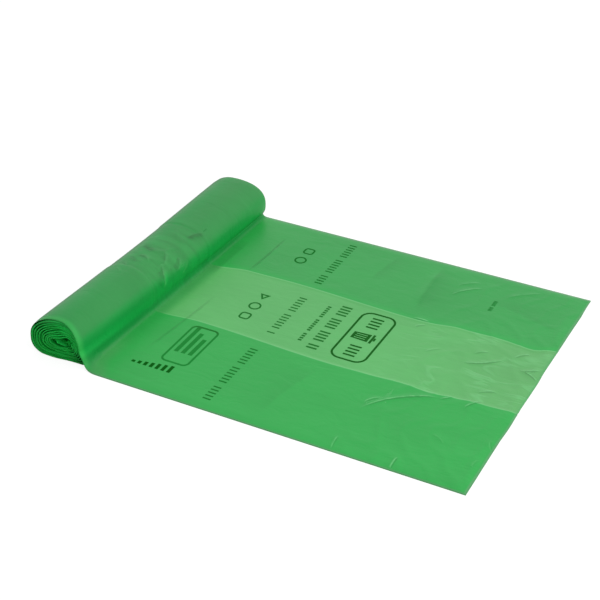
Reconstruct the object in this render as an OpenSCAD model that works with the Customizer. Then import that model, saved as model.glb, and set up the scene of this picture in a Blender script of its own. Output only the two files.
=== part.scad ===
// Coreless roll of gusseted bin bags, lying on a table with the leading bag pulled out flat.
// +X runs from the roll towards the bag's free edge, +Y from the near end of the roll to the far one.
// The origin is on the table, in the middle of the part's outline.

/* [Bag] */
// Width of the bag as it lies folded
bag_w = 330; // [290:1:400]
// Length of the leading bag that lies flat
flat_len = 355; // [320:1:560]
// Depth of the gusset folded in along the near edge
gusset_near = 117; // [90:1:125]
// Depth of the gusset folded in along the far edge
gusset_far = 110; // [90:1:125]
// Thickness of one ply of film
film_t = 0.15; // [0.1:0.01:0.18]
// Air between two plies
ply_gap = 0.1; // [0.05:0.01:0.12]
// Width over which the top ply steps down beside a gusset
step_run = 4; // [2:0.5:8]

/* [Roll] */
// Height of the roll
roll_h = 41; // [38:1:48]
// Height of the winding centre above the table
core_z = 18; // [16:0.5:20]
// Reach of the near end behind the winding centre
near_back = 38; // [32:1:48]
// Reach of the near end in front of the winding centre
near_front = 21; // [18:1:32]
// Reach of the far end behind the winding centre
far_back = 29; // [24:1:42]
// Reach of the far end in front of the winding centre
far_front = 38; // [30:1:42]
// How much narrower the bags are on the roll than where they lie relaxed
gathered = 12; // [2:1:16]
// Turns of film from the drape to the winding centre
turns = 12; // [9:1:13]
// Air between two turns at the foot of the roll
turn_gap = 0.4; // [0.3:0.05:0.5]
// Turns of the leading bag that are still on the roll
leading_turns = 1.12; // [0.9:0.02:1.2]
// Angle left open at the perforation between two bags
perforation_deg = 1; // [0.5:0.1:3]
// How far the roll is pressed flat on the table
flat_depth = 2.5; // [1.5:0.1:4]
// Waviness of the turns towards the winding centre
crumple_share = 0.16; // [0:0.01:0.2]
// Share of the rear reach that is left at the core, where the innermost turn is a flat slit
slit_share = 0.4; // [0:0.05:0.5]
// How far the near end's turns stretch into the corner under the drape, as a share of their front reach
toe_share = 0.4; // [0:0.05:0.45]

/* [Drape] */
// How far the near edge bulges forward below the line where it leaves the roll
near_bulge = 3; // [1:0.5:6]
// How far the far edge is tucked back there
far_tuck = 1; // [0:0.5:4]
// Angle below the winding centre at which the film leaves the roll
leave_deg = 20; // [12:1:26]
// Distance from the winding centre to where the near edge lies flat
near_flare = 40; // [36:1:60]
// Distance from the winding centre to where the far edge lies flat
far_flare = 46; // [44:1:60]

/* [Print] */
// Thickness of the ink
ink_t = 0.1; // [0.05:0.01:0.2]
// Clear film left beside an edge or a gusset step
margin = 5; // [3:0.5:10]
// Distance from the drape to the middle of the large mark
mark_at = 184; // [180:1:200]
// Height of the large mark
mark_h = 37; // [30:1:44]
// Width of the lines in the large mark
line_w = 2.2; // [1:0.1:3]
// Distance from the drape to the heading
heading_at = 148; // [146:1:154]
// Height of the heading's bars
heading_h = 11; // [8:0.5:13]
// Distance from the drape to the line under the heading
subline_at = 132; // [128:1:134]
// Distance from the drape to the long row of ticks
ticks_at = 102; // [96:1:110]
// Height of those ticks
tick_h = 8; // [5:0.5:10]
// Distance from the drape to the row of small shapes
shapes_at = 66; // [62:1:74]
// Width of each small shape
shape_w = 13; // [9:0.5:16]
// Distance from the drape to the middle of the framed note
note_at = 46; // [40:1:60]
// Height of the framed note
note_h = 30; // [20:1:36]
// Distance from the drape to the middle of the size scale
scale_at = 31; // [30:1:50]
// Length of the size scale
scale_len = 44; // [30:1:46]
// Distance from the bag's near edge to the foot of the size scale
scale_in = 33; // [15:1:34]
// Distance from the drape to the batch ticks by the free edge
batch_at = 273; // [240:1:280]

/* [Hidden] */

film_colour = "#4fae5f";
wound_colour = "#0f7a2e";
ink_colour = "#1f6f33";

lap = 2 * film_t;
ply = [for (k = [0:3]) k * (film_t + ply_gap)];
side_stack = ply[3] + film_t;
centre_stack = ply[1] + film_t;
step_near = -bag_w / 2 + gusset_near;
step_far = bag_w / 2 - gusset_far;

roll_len = bag_w - gathered;
pitch = (core_z - side_stack) / turns;
turn_t = pitch - turn_gap;
leave_phi = -leave_deg;
leading_phi = leave_phi + 360 * leading_turns;
core_phi = leave_phi + 360 * turns * 0.92;

drape_reach = max(near_flare, far_flare);
x_roll = (max(near_back, far_back) - drape_reach - flat_len) / 2;
x_drape = x_roll + drape_reach;
x_free = x_drape + flat_len;

function mix(a, b, share) = a + (b - a) * share;
function smooth(s) = let (c = max(0, min(1, s))) c * c * (3 - 2 * c);

// The winding as seen from the near end, by polar angle from +X towards +Z.
// v is 0 at the near end and 1 at the far end.
// Each turn is the outline of the roll, a step smaller than the turn outside it. Towards the rear the steps
// are shorter, so that the innermost turn is a slit.
function passes(phi) = (phi - leave_phi) / 360;
function share_left(phi) = 1 - passes(phi) / turns;
function rear_left(phi) = mix(slit_share, 1, share_left(phi));
function reach_x(phi, v) = cos(phi) >= 0
    ? (mix(near_front, far_front, v) - side_stack) * share_left(phi) / share_left(0)
    : (mix(near_back, far_back, v) - side_stack) * rear_left(phi) / rear_left(180);
function reach_z(phi) = share_left(phi) * (
    sin(phi) >= 0 ? (roll_h - side_stack - core_z) / share_left(90) : core_z - side_stack + flat_depth
);
// How square each quarter of the outline is, where 2 is an ellipse
function squareness(phi, v) = cos(phi) >= 0
    ? (sin(phi) >= 0 ? mix(2, 2.5, v) : mix(4.5, 3, v))
    : (sin(phi) >= 0 ? 2.1 : 3.2);
function outline(phi, v) = let (n = squareness(phi, v))
    pow(pow(abs(cos(phi)) / reach_x(phi, v), n) + pow(abs(sin(phi)) / reach_z(phi), n), -1 / n);
function wave(phi) = 1 + crumple_share * (1 - share_left(phi)) * cos(3 * phi + 40);
function radius(phi, v) = wave(phi) * outline(phi, v);
// The foot of each turn lies flat on the turn outside it, and the outermost one on the table
function foot(phi) = side_stack + pitch * floor(passes(phi));
// Forward of the winding centre the turns stretch towards the table, most at the near end
function toe(x, z, v) = x > 0 ? x * mix(toe_share, 0, v) * pow(max(0, core_z - z) / core_z, 2) : 0;
function winding(phi, v) = let (
    x = radius(phi, v) * cos(phi),
    z = max(foot(phi), core_z + radius(phi, v) * sin(phi))
) [x_roll + x + toe(x, z, v), z];

// The drape is a cubic curve from the front of the roll down to the table
function flare_x(v) = x_roll + mix(near_flare, far_flare, v);
function drape_knots(v) = let (top = winding(leave_phi, v), bulge = mix(near_bulge, -far_tuck, v)) [
    top,
    [top[0] + bulge, top[1] * 0.3],
    [mix(top[0], flare_x(v), 0.3), 0],
    [flare_x(v), 0]
];
function cubic(k, u) =
    k[0] * pow(1 - u, 3) + k[1] * 3 * u * pow(1 - u, 2) + k[2] * 3 * pow(u, 2) * (1 - u) + k[3] * pow(u, 3);

// Unit vector square to the line from a to b: up from the table, or out of the roll
function outward(a, b) = let (d = b - a) [d[1], -d[0]] / norm(d);

// Stations of the leading bag, from its free edge to its sealed end inside the roll
flat_steps = 4;
drape_steps = 9;
wrap_steps = 50;
leave_station = flat_steps + drape_steps;
last_station = leave_station + wrap_steps;
function path(i, v) = i <= flat_steps
    ? [mix(x_free, flare_x(v), i / flat_steps), 0]
    : i <= leave_station
    ? cubic(drape_knots(v), 1 - (i - flat_steps) / drape_steps)
    : winding(mix(leave_phi, leading_phi, (i - leave_station) / wrap_steps), v);
function path_normal(i, v) = outward(path(max(0, i - 1), v), path(min(last_station, i + 1), v));
path_ends = [for (v = [0, 1]) [for (i = [0:last_station]) [path(i, v), path_normal(i, v)]]];
function width_at(i) = mix(1, roll_len / bag_w, smooth((i - flat_steps) / drape_steps));

// A point of the leading bag at station i, y across the folded bag and h up through its plies
function bag_point(i, y, h) = let (
    ends = [for (side = path_ends) side[i][0] + side[i][1] * h],
    p = mix(ends[0], ends[1], y / bag_w + 0.5)
) [p[0], y * width_at(i), p[1]];

// Section of the flattened tube with a gusset folded in along each edge: its outside, then its inside
tube_outside = let (e = bag_w / 2, t = film_t, ramp = lap + step_run) [
    [-e, 0], [step_near, 0], [step_far, 0], [e, 0],
    [e, ply[1] + t], [step_far, ply[1] + t], [step_far, ply[2]], [e, ply[2]],
    [e, ply[3] + t], [step_far - lap, ply[3] + t], [step_far - ramp, ply[1] + t],
    [step_near + ramp, ply[1] + t], [step_near + lap, ply[3] + t], [-e, ply[3] + t],
    [-e, ply[2]], [step_near, ply[2]], [step_near, ply[1] + t], [-e, ply[1] + t]
];
tube_inside = let (e = bag_w / 2 - film_t, t = film_t, ramp = lap + step_run) [
    [-e, t], [step_near, t], [step_far, t], [e, t],
    [e, ply[1]], [step_far - t, ply[1]], [step_far - t, ply[2] + t], [e, ply[2] + t],
    [e, ply[3]], [step_far - lap, ply[3]], [step_far - ramp, ply[1]],
    [step_near + ramp, ply[1]], [step_near + lap, ply[3]], [-e, ply[3]],
    [-e, ply[2] + t], [step_near + t, ply[2] + t], [step_near + t, ply[1]], [-e, ply[1]]
];
// Faces that fill either of these two loops
tube_cap = [
    [0, 1, 16, 17], [1, 2, 10, 11], [1, 11, 16], [2, 3, 4, 5], [2, 5, 10],
    [5, 9, 10], [5, 6, 9], [6, 7, 8, 9], [11, 12, 15, 16], [12, 13, 14, 15]
];

// Triangles between two like loops whose points start at a and b. Each diagonal climbs with the key,
// so that the surfaces of neighbouring plies and turns bend alike.
function band(a, b, keys) = let (n = len(keys)) [
    for (k = [0:n - 1])
        let (next = (k + 1) % n)
            each keys[next] >= keys[k]
                ? [[a + k, a + next, b + next], [a + k, b + next, b + k]]
                : [[a + k, a + next, b + k], [a + next, b + next, b + k]]
];
function shifted(faces, by) = [for (f = faces) [for (k = f) k + by]];
function reversed(faces) = [for (f = faces) [for (k = [len(f) - 1:-1:0]) f[k]]];

module leading_bag() {
    n = len(tube_outside);
    across = [for (q = tube_outside) q[0]];
    inner = n * (last_station + 1);
    points = [
        for (i = [0:last_station]) for (q = tube_outside) bag_point(i, q[0], q[1]),
        for (i = [0:last_station - 1]) for (q = tube_inside) bag_point(i, q[0], q[1])
    ];
    outer_skin = [for (i = [0:last_station - 1]) each band(i * n, (i + 1) * n, across)];
    inner_skin = [for (i = [0:last_station - 2]) each band(inner + i * n, inner + (i + 1) * n, across)];
    mouth = band(0, inner, across);
    sealed_end = shifted(tube_cap, n * last_station);
    seal_inside = shifted(tube_cap, inner + n * (last_station - 1));
    color(film_colour)
        polyhedron(points, concat(
            outer_skin, sealed_end, reversed(inner_skin), reversed(mouth), reversed(seal_inside)
        ), convexity = 10);
}

// The bags still wound up, as one spiral strip drawn between the two ends of the roll.
// Its corners lie at the same angles in every turn, apart from the first and the last.
wound_step = 7.5;
wound_first = ceil((leading_phi + perforation_deg + 1) / wound_step);
wound_steps = floor(core_phi / wound_step) - wound_first + 1;
rulings = 2;
function wound_phi(j) = j == 0 ? leading_phi + perforation_deg : wound_step * (wound_first + j - 1);
function wound_section(v) = let (
    inside = [for (j = [0:wound_steps]) winding(wound_phi(j), v)],
    probe = 1,
    normals = [
        for (j = [0:wound_steps]) outward(winding(wound_phi(j) - probe, v), winding(wound_phi(j) + probe, v))
    ]
) concat(inside, [for (j = [wound_steps:-1:0]) inside[j] + normals[j] * turn_t]);

module wound_bags() {
    near_section = wound_section(0);
    far_section = wound_section(1);
    n = len(near_section);
    turned = [for (k = [0:n - 1]) min(k, n - 1 - k)];
    points = [
        for (r = [0:rulings]) for (k = [0:n - 1])
            let (p = mix(near_section[k], far_section[k], r / rulings)) [p[0], (r / rulings - 0.5) * roll_len, p[1]]
    ];
    end_faces = [for (j = [0:wound_steps - 1]) [j, j + 1, n - 2 - j, n - 1 - j]];
    sides = [for (r = [0:rulings - 1]) each band(r * n, (r + 1) * n, turned)];
    color(wound_colour)
        polyhedron(points, concat(
            end_faces, reversed(sides), reversed(shifted(end_faces, rulings * n))
        ), convexity = 20);
}

// The print lies in three zones of level film: the near gusset, the middle strip and the far gusset.
zones = [
    [-bag_w / 2, step_near],
    [step_near + lap + step_run, step_far - lap - step_run],
    [step_far, bag_w / 2]
];
near = 0;
middle = 1;
far = 2;
function zone_mid(zone) = (zones[zone][0] + zones[zone][1]) / 2;
function zone_room(zone) = zones[zone][1] - zones[zone][0] - 2 * margin;
function zone_top(zone) = zone == middle ? centre_stack : side_stack;

// Inks flat shapes in a zone, at a distance from the drape and shifted from the zone's middle.
// Their up is +X, and their right is -Y.
module inked(zone, at, shift = 0) {
    translate([x_drape + at, zone_mid(zone) + shift, zone_top(zone)])
        rotate([0, 0, -90])
            linear_extrude(ink_t) children();
}

module bar(w, h) {
    square([w, h], center = true);
}

// Upright bars that fill a length, in groups with one bar left out between them.
// An unbroken row is one group that never ends.
unbroken = 1000;
module bar_row(length, bar_w, bar_h, step, group) {
    last = floor((length - bar_w) / step);
    for (i = [0:last])
        if (i % group != group - 1) translate([(i - last / 2) * step, 0]) bar(bar_w, bar_h);
}

module rounded_plate(w, h, r) {
    bar(w - 2 * r, h);
    bar(w, h - 2 * r);
    for (x = [-1, 1]) for (y = [-1, 1]) translate([x * (w / 2 - r), y * (h / 2 - r)]) circle(r, $fn = 40);
}

module frame(w, h, r, line) {
    difference() {
        rounded_plate(w, h, r);
        rounded_plate(w - 2 * line, h - 2 * line, r - line);
    }
}

// A plain waste bin: tapered body with slots, and a lid above it
module bin_sign(h) {
    w = 0.62 * h;
    body_h = 0.74 * h;
    difference() {
        polygon([[-w * 0.36, -h / 2], [w * 0.36, -h / 2], [w * 0.44, body_h - h / 2], [-w * 0.44, body_h - h / 2]]);
        for (x = [-1:1]) translate([x * w * 0.22, body_h / 2 - h / 2]) bar(w * 0.08, body_h * 0.66);
    }
    translate([0, 0.36 * h]) bar(w, 0.1 * h);
    translate([0, 0.46 * h]) bar(w * 0.34, 0.08 * h);
}

module large_mark() {
    w = zone_room(middle);
    bin_h = mark_h - 6 * line_w;
    side_w = w / 2 - 0.4 * mark_h - 3 * line_w;
    frame(w, mark_h, mark_h * 0.3, line_w);
    bin_sign(bin_h);
    for (side = [-1, 1])
        translate([side * (0.4 * mark_h + side_w / 2), 0])
            bar_row(side_w, line_w, bin_h / 2, 2.4 * line_w, unbroken);
}

// A ring, a square or a triangle drawn in outline
module small_shape(kind) {
    line = shape_w / 7;
    if (kind == "square") frame(shape_w * 0.9, shape_w * 0.9, 2 * line, line);
    else difference() {
        circle(shape_w / 2, $fn = kind == "ring" ? 40 : 3);
        circle(shape_w / 2 - (kind == "ring" ? line : 2 * line), $fn = kind == "ring" ? 40 : 3);
    }
}

module shape_row(kinds) {
    step = 1.5 * shape_w;
    for (i = [0:len(kinds) - 1])
        translate([(i - (len(kinds) - 1) / 2) * step, 0]) small_shape(kinds[i]);
}

// A framed note: three lines of different length in a box
module note_box(w, h) {
    line = h / 14;
    frame(w, h, 3 * line, line);
    for (i = [-1:1]) translate([(i - 1) * w * 0.06, i * h / 4]) bar(w * (0.68 - 0.12 * (i + 1)), 2 * line);
}

// A scale of rising bars on one line
module size_scale(length) {
    bars = 7;
    step = length / bars;
    for (i = [0:bars - 1]) {
        h = mix(0.5, 1.7, i / (bars - 1)) * step;
        translate([(i - (bars - 1) / 2) * step, h / 2]) bar(step * 0.55, h);
    }
}

module print() {
    note_w = zone_room(near) * 0.6;
    color(ink_colour) {
        inked(middle, mark_at) large_mark();
        inked(middle, heading_at) bar_row(zone_room(middle), line_w, heading_h, 2.2 * line_w, 5);
        inked(middle, subline_at) bar_row(zone_room(middle) * 0.8, line_w, heading_h / 3, 1.7 * line_w, 7);
        for (zone = [near, middle, far])
            inked(zone, ticks_at) bar_row(zone_room(zone) * 0.85, tick_h / 5, tick_h, tick_h * 0.6, 7);
        inked(middle, shapes_at) shape_row(["triangle", "ring", "square"]);
        inked(far, shapes_at) shape_row(["square", "ring"]);
        inked(near, note_at, (zone_room(near) - note_w) / 2) note_box(note_w, note_h);
        inked(near, scale_at, scale_in - bag_w / 2 - zone_mid(near)) rotate([0, 0, 90]) size_scale(scale_len);
        inked(far, batch_at) bar_row(2.5 * tick_h, tick_h / 8, tick_h / 2, tick_h / 4, 6);
    }
}

wound_bags();
leading_bag();
print();
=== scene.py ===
import math
from functools import partialmethod
import bpy
import numpy as np
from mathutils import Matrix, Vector


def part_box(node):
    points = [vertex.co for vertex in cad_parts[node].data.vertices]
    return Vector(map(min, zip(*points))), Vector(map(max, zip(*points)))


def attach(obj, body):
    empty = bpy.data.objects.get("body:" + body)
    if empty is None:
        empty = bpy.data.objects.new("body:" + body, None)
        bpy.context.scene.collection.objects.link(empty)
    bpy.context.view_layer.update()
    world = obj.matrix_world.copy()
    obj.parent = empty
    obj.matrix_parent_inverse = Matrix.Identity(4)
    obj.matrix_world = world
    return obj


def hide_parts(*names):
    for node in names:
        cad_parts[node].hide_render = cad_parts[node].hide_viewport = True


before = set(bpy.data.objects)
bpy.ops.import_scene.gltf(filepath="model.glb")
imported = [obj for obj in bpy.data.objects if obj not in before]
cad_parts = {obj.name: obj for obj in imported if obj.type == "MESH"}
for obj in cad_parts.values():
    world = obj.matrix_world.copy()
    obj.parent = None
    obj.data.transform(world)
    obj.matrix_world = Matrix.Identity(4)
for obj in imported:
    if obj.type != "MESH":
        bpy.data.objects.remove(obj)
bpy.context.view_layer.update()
print("frame loaded")

mm = 0.001

# The bag flattened, in millimetres: a film tube with a gusset folded in along each edge.
bag = {
    "width": 330,
    "flatLength": 355,
    "gussetNear": 117,
    "gussetFar": 110,
    "film": 0.15,  # one ply and its share of trapped air
    "gap": 0.1,  # air between two plies
    "shell": 0.05,  # thickness of the film itself
    "pressed": 0.35,  # share of the stack's height left at its edges
    "pressedRun": 9,  # width over which it is pressed
    "liftRun": 4,  # over which a wrinkle's lift dies out at an edge
    "stepRun": 4,  # over which the top ply comes down beside a gusset
    "edgeShift": 0.7,  # the upper edge fold lies this far inside the lower one
    # share of a wrinkle's lift at the lower edge, on a gusset's two leaves and at the upper edge
    "follows": (0.1, 0.3, 0.7, 0.85),
    # how far each inner fold strays from its line, at places along X
    "nearStray": ((-147, -2.5), (-102, 1.5), (40, -3.5), (74, -2.5), (112, -0.5), (140, -2.5), (160, 0.5),
                  (181, 2.5), (219, 4.5)),
    "farStray": ((-147, -4), (-108, 3), (-59, 4), (77, -1), (91, -0.5), (125, 4), (164, 5), (196, 2),
                 (219, 10)),
    "topColumns": 42,  # on each gusset and on the strip between them
    "stepColumns": 5,
    "hiddenColumns": 5,
    "belowColumns": 4,
    "flatRows": 150,
    "drapeRows": 22,
    "wrapRows": 96,
}

# The roll seen from its near end, by polar angle from +X towards +Z, in millimetres and degrees. Of two
# numbers for the two ends, the near one comes first.
roll = {
    "height": 41,
    "coreHeight": 18,
    "back": (38, 29),  # reach behind the winding centre
    "front": (21, 38),
    "ends": (-161, 162),  # the bags are a little narrower on the roll
    "turns": 12,
    "leadingTurns": 1.12,
    "coreShare": 0.84,  # of the turns, the rest is a crumpled slit
    "leaveAngle": -20,
    "flatDepth": 2.5,  # how far the roll is pressed flat on the table
    # how square each quarter of the outline is, where 2 is an ellipse
    "square": {"frontTop": (2, 2.5), "backTop": (2.1, 2.1), "frontFoot": (4.5, 3),
               "backFoot": (3.2, 3.2)},
    "crumple": 0.16,  # waviness of the turns at the core
    "crumpleWaves": 3,
    "crumpleTurned": 40,
    "slit": 0.4,  # share of the rear reach that is left at the core
    "toe": (0.62, 0),  # stretch of the turns into the corner under the drape
    "coreForward": (5, 3),  # how far the core lies in front of the winding centre
    "flare": (40, 46),  # from the winding centre to where the loose drape meets the table
    "flareShape": (0.3, 0.3),  # its inner control points, as shares of its run and height
    "bulge": (3, -1),  # how far it bulges forward below the leaving line
    "crease": 6.5,  # run of the tight bend under the roll
    "creaseCorner": 1.2,  # how far its corner is in front of the roll
    "creaseRise": 0.35,  # of its upper control point, as a share of the drape's height
    "looseEdge": 26,  # width at the near edge where the tight bend opens out into the flare
    # how far the near edge has wandered in, at angles round the roll
    "skew": ((-20, 0), (0, 0), (125, 6.5), (235, 1), (300, 3.2), (384, 3.2)),
    "nearBias": 0.45,  # the section changes faster towards the near end
    "waist": {"share": 0.045, "place": 20, "width": 90},  # slightly lower there, along Y
}

plyHeight = [k * (bag["film"] + bag["gap"]) for k in range(4)]
sideStack = plyHeight[3] + bag["film"]
centreStack = plyHeight[1] + bag["film"]
halfWidth = bag["width"] / 2
foldNear = -halfWidth + bag["gussetNear"]
foldFar = halfWidth - bag["gussetFar"]
rollLength = roll["ends"][1] - roll["ends"][0]
pitch = (roll["coreHeight"] - sideStack) / roll["turns"]
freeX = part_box("leading_bag")[1].x / mm
drapeX = freeX - bag["flatLength"]
rollX = drapeX - max(roll["flare"])
leadingAngle = roll["leaveAngle"] + 360 * roll["leadingTurns"]
coreAngle = roll["leaveAngle"] + 360 * roll["turns"] * roll["coreShare"]


# The value at a share of the way from a to b
def mix(a, b, share):
    return a + (b - a) * share


# A share c kept from 0 to 1, then eased at both ends: 3 c^2 - 2 c^3
def smooth(share):
    c = np.clip(share, 0.0, 1.0)
    return c * c * (3 - 2 * c)


# Smooth steps between knots given as (place, value)
def eased(places, knots):
    at, values = np.array(knots, float).T
    k = np.clip(np.searchsorted(at, places) - 1, 0, len(at) - 2)
    return mix(values[k], values[k + 1], smooth((places - at[k]) / (at[k + 1] - at[k])))


# A sum of nine sine waves in random directions, mostly from -1 to 1, each with a wavelength near the given
# one. The seed makes the draws repeat, and the pattern is squeezed along b by its factor.
def ripple(a, b, wavelength, seed, squeeze=1.0):
    waves = np.random.default_rng(seed).random((9, 3))
    b = b * squeeze
    total = 0.0
    for turn, phase, spread in waves:
        k = math.tau / wavelength * (0.65 + 0.7 * spread)
        way = math.tau * turn
        total = total + np.sin(k * (a * math.cos(way) + b * math.sin(way)) + math.tau * phase)
    return total / math.sqrt(len(waves))


# Turns wound off before an angle is reached
def passesAt(phi):
    return (phi - roll["leaveAngle"]) / 360


# Share of all the turns that is left to wind
def shareLeft(phi):
    return 1 - passesAt(phi) / roll["turns"]


# Inner surface of the film at an angle and an end of the roll: a superellipse with its own squareness in
# each quarter, a step smaller with each turn, wavy towards the core, stretched forward into the corner
# under the drape and flat where it lies below.
def winding(phi, end):
    c = np.cos(np.radians(phi))
    s = np.sin(np.radians(phi))
    left = shareLeft(phi)
    rearLeft = mix(roll["slit"], 1, left)
    front = (roll["front"][end] - sideStack) * left / shareLeft(0)
    back = (roll["back"][end] - sideStack) * rearLeft / mix(roll["slit"], 1, shareLeft(180))
    top = (roll["height"] - sideStack - roll["coreHeight"]) * left / shareLeft(90)
    below = (roll["coreHeight"] - sideStack + roll["flatDepth"]) * left
    reachX = np.where(c >= 0, front, back)
    reachZ = np.where(s >= 0, top, below)
    square = {quarter: ends[end] for quarter, ends in roll["square"].items()}
    upper = np.where(c >= 0, square["frontTop"], square["backTop"])
    lower = np.where(c >= 0, square["frontFoot"], square["backFoot"])
    n = np.where(s >= 0, upper, lower)
    outline = ((np.abs(c) / reachX) ** n + (np.abs(s) / reachZ) ** n) ** (-1 / n)
    wave = np.cos(np.radians(roll["crumpleWaves"] * phi + roll["crumpleTurned"]))
    radius = outline * (1 + roll["crumple"] * (1 - left) * wave)
    foot = sideStack + pitch * np.floor(passesAt(phi))
    x = radius * c
    z = np.maximum(foot, roll["coreHeight"] + radius * s)
    depth = np.maximum(0, 1 - z / roll["coreHeight"])
    x = x + roll["coreForward"][end] * (1 - left) + np.maximum(x, 0) * roll["toe"][end] * depth ** 2
    return np.stack([rollX + x, z], -1)


# Share of the far end's section in the section at a share of the roll's length
def farShare(share):
    return share + roll["nearBias"] * share * (1 - share)


# Height with the roll's slight waist taken off
def waisted(y, z):
    waist = roll["waist"]
    return z * (1 - waist["share"] * np.exp(-((y - waist["place"]) / waist["width"]) ** 2))


# Points over a path by their heights, square to it: up from the table and out of the roll
def over(path, high):
    step = np.gradient(path, axis=0)
    outward = np.stack([step[:, 1], -step[:, 0]], -1) / np.linalg.norm(step, axis=1)[:, None]
    return path[:, None, :] + outward[:, None, :] * high[..., None]


# Faces between rows of points, where each row is a closed loop. All of them point out of the loop.
def gridFaces(rows, columns):
    r = np.arange(rows - 1)[:, None]
    c = np.arange(columns)[None, :]
    nextC = (c + 1) % columns
    corners = [r * columns + c, (r + 1) * columns + c, (r + 1) * columns + nextC, r * columns + nextC]
    return np.stack(np.broadcast_arrays(*corners), -1).reshape(-1, 4).tolist()


# An object from points in millimetres and faces, with a UV layer for each named grid of pairs
def meshObject(name, points, faces, uvs=None):
    mesh = bpy.data.meshes.new(name)
    mesh.from_pydata((points.reshape(-1, 3) * mm).tolist(), [], faces)
    corner = np.empty(len(mesh.loops), np.int32)
    mesh.loops.foreach_get("vertex_index", corner)
    for layerName, uv in (uvs or {}).items():
        layer = mesh.uv_layers.new(name=layerName)
        layer.data.foreach_set("uv", (uv.reshape(-1, 2) * mm)[corner].astype(np.float32).ravel())
    mesh.shade_smooth()
    piece = bpy.data.objects.new(name, mesh)
    bpy.context.scene.collection.objects.link(piece)
    return piece


# An output socket of a shader graph that takes part in arithmetic
class Wire:
    def __init__(self, graph, socket):
        self.graph = graph
        self.socket = socket

    def apply(self, operation, *others):
        return self.graph.node("ShaderNodeMath", {"operation": operation}, dict(enumerate((self, *others))))

    __add__ = __radd__ = partialmethod(apply, "ADD")
    __mul__ = __rmul__ = partialmethod(apply, "MULTIPLY")
    __sub__ = partialmethod(apply, "SUBTRACT")
    __truediv__ = partialmethod(apply, "DIVIDE")
    __abs__ = partialmethod(apply, "ABSOLUTE")
    __gt__ = partialmethod(apply, "GREATER_THAN")
    __lt__ = partialmethod(apply, "LESS_THAN")
    orMore = partialmethod(apply, "MAXIMUM")

    def __rsub__(self, other):
        return self.graph.node("ShaderNodeMath", {"operation": "SUBTRACT"}, {0: other, 1: self})

    # 0 below low, 1 above high, and smooth between them
    def between(self, low, high):
        settings = {"interpolation_type": "SMOOTHSTEP"}
        return self.graph.node("ShaderNodeMapRange", settings, {0: self, 1: low, 2: high})

    # The same for a pair of places in millimetres, counted from a start
    def band(self, places, start=0.0):
        return self.between((start + places[0]) * mm, (start + places[1]) * mm)


class Graph:
    def __init__(self, tree):
        self.tree = tree
        tree.nodes.clear()

    # Any node: its type, settings, values or wires of its sockets, and which output is wanted
    def node(self, kind, settings=None, inputs=None, output=0):
        made = self.tree.nodes.new(kind)
        for name, value in (settings or {}).items():
            setattr(made, name, value)
        for key, value in (inputs or {}).items():
            if isinstance(value, Wire):
                self.tree.links.new(value.socket, made.inputs[key])
            else:
                made.inputs[key].default_value = value
        return Wire(self, made.outputs[output]) if made.outputs else made

    # From colour a to colour b
    def blend(self, share, a, b):
        settings = {"data_type": "RGBA", "clamp_factor": True}
        a, b = [c if isinstance(c, Wire) else (*c, 1) for c in (a, b)]
        return self.node("ShaderNodeMix", settings, {0: share, 6: a, 7: b}, 2)

    # A colour made lighter or darker by a factor
    def shade(self, colour, factor):
        return self.node("ShaderNodeVectorMath", {"operation": "SCALE"}, {0: colour, "Scale": factor})

    # Noise of a vector, which may be stretched first. Contrast is where it starts and where it is full.
    def noise(self, vector, scale=1, detail=2, roughness=0.5, distortion=0, stretch=None, contrast=None):
        if stretch:
            vector = self.node("ShaderNodeMapping", {}, {"Vector": vector, "Scale": stretch})
        inputs = {"Vector": vector, "Scale": scale, "Detail": detail, "Roughness": roughness}
        made = self.node("ShaderNodeTexNoise", {}, {**inputs, "Distortion": distortion})
        return made.between(*contrast) if contrast else made

    # Relief from a height in metres
    def bump(self, height, strength):
        return self.node("ShaderNodeBump", {}, {"Strength": strength, "Distance": 1.0, "Height": height})

    # Object coordinates
    def place(self):
        return self.node("ShaderNodeTexCoord", {}, {}, "Object")

    # A UV layer of the piece's own mesh
    def layer(self, name):
        return self.node("ShaderNodeUVMap", {"uv_map": name})

    # The first parts of a vector, in the order X, Y, Z
    def parts(self, vector, count=3):
        return [self.node("ShaderNodeSeparateXYZ", {}, {0: vector}, k) for k in range(count)]


def newMaterial(name):
    material = bpy.data.materials.new(name)
    material.use_nodes = True
    return material, Graph(material.node_tree)


def finishMaterial(graph, shader):
    graph.node("ShaderNodeOutputMaterial", {}, {"Surface": shader})


# The film's shader. Its coat is a milky haze, and its waves are in the sheet and in the ink.
filmRules = {
    "hazeRoughness": 0.5,
    "hazeIor": 1.5,
    "waves": {"stretch": (1, 1.6, 1), "scale": 38, "detail": 3, "distortion": 0.6},
    "wavesHigh": 0.0011,
    "bump": 0.5,
}


def finishFilm(graph, colour, roughness, normal, ior, haze=0.0):
    inputs = {"Base Color": colour, "Roughness": roughness, "IOR": ior, "Normal": normal}
    inputs.update({"Coat Weight": haze, "Coat Normal": normal})
    inputs.update({"Coat Roughness": filmRules["hazeRoughness"], "Coat IOR": filmRules["hazeIor"]})
    finishMaterial(graph, graph.node("ShaderNodeBsdfPrincipled", {}, inputs))


# The leading bag: the flattened tube's loop carried along its path

# A dictionary for each row of values, with the names given once
def namedRows(names, rows):
    return [dict(zip(names.split(), row)) for row in rows]


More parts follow.
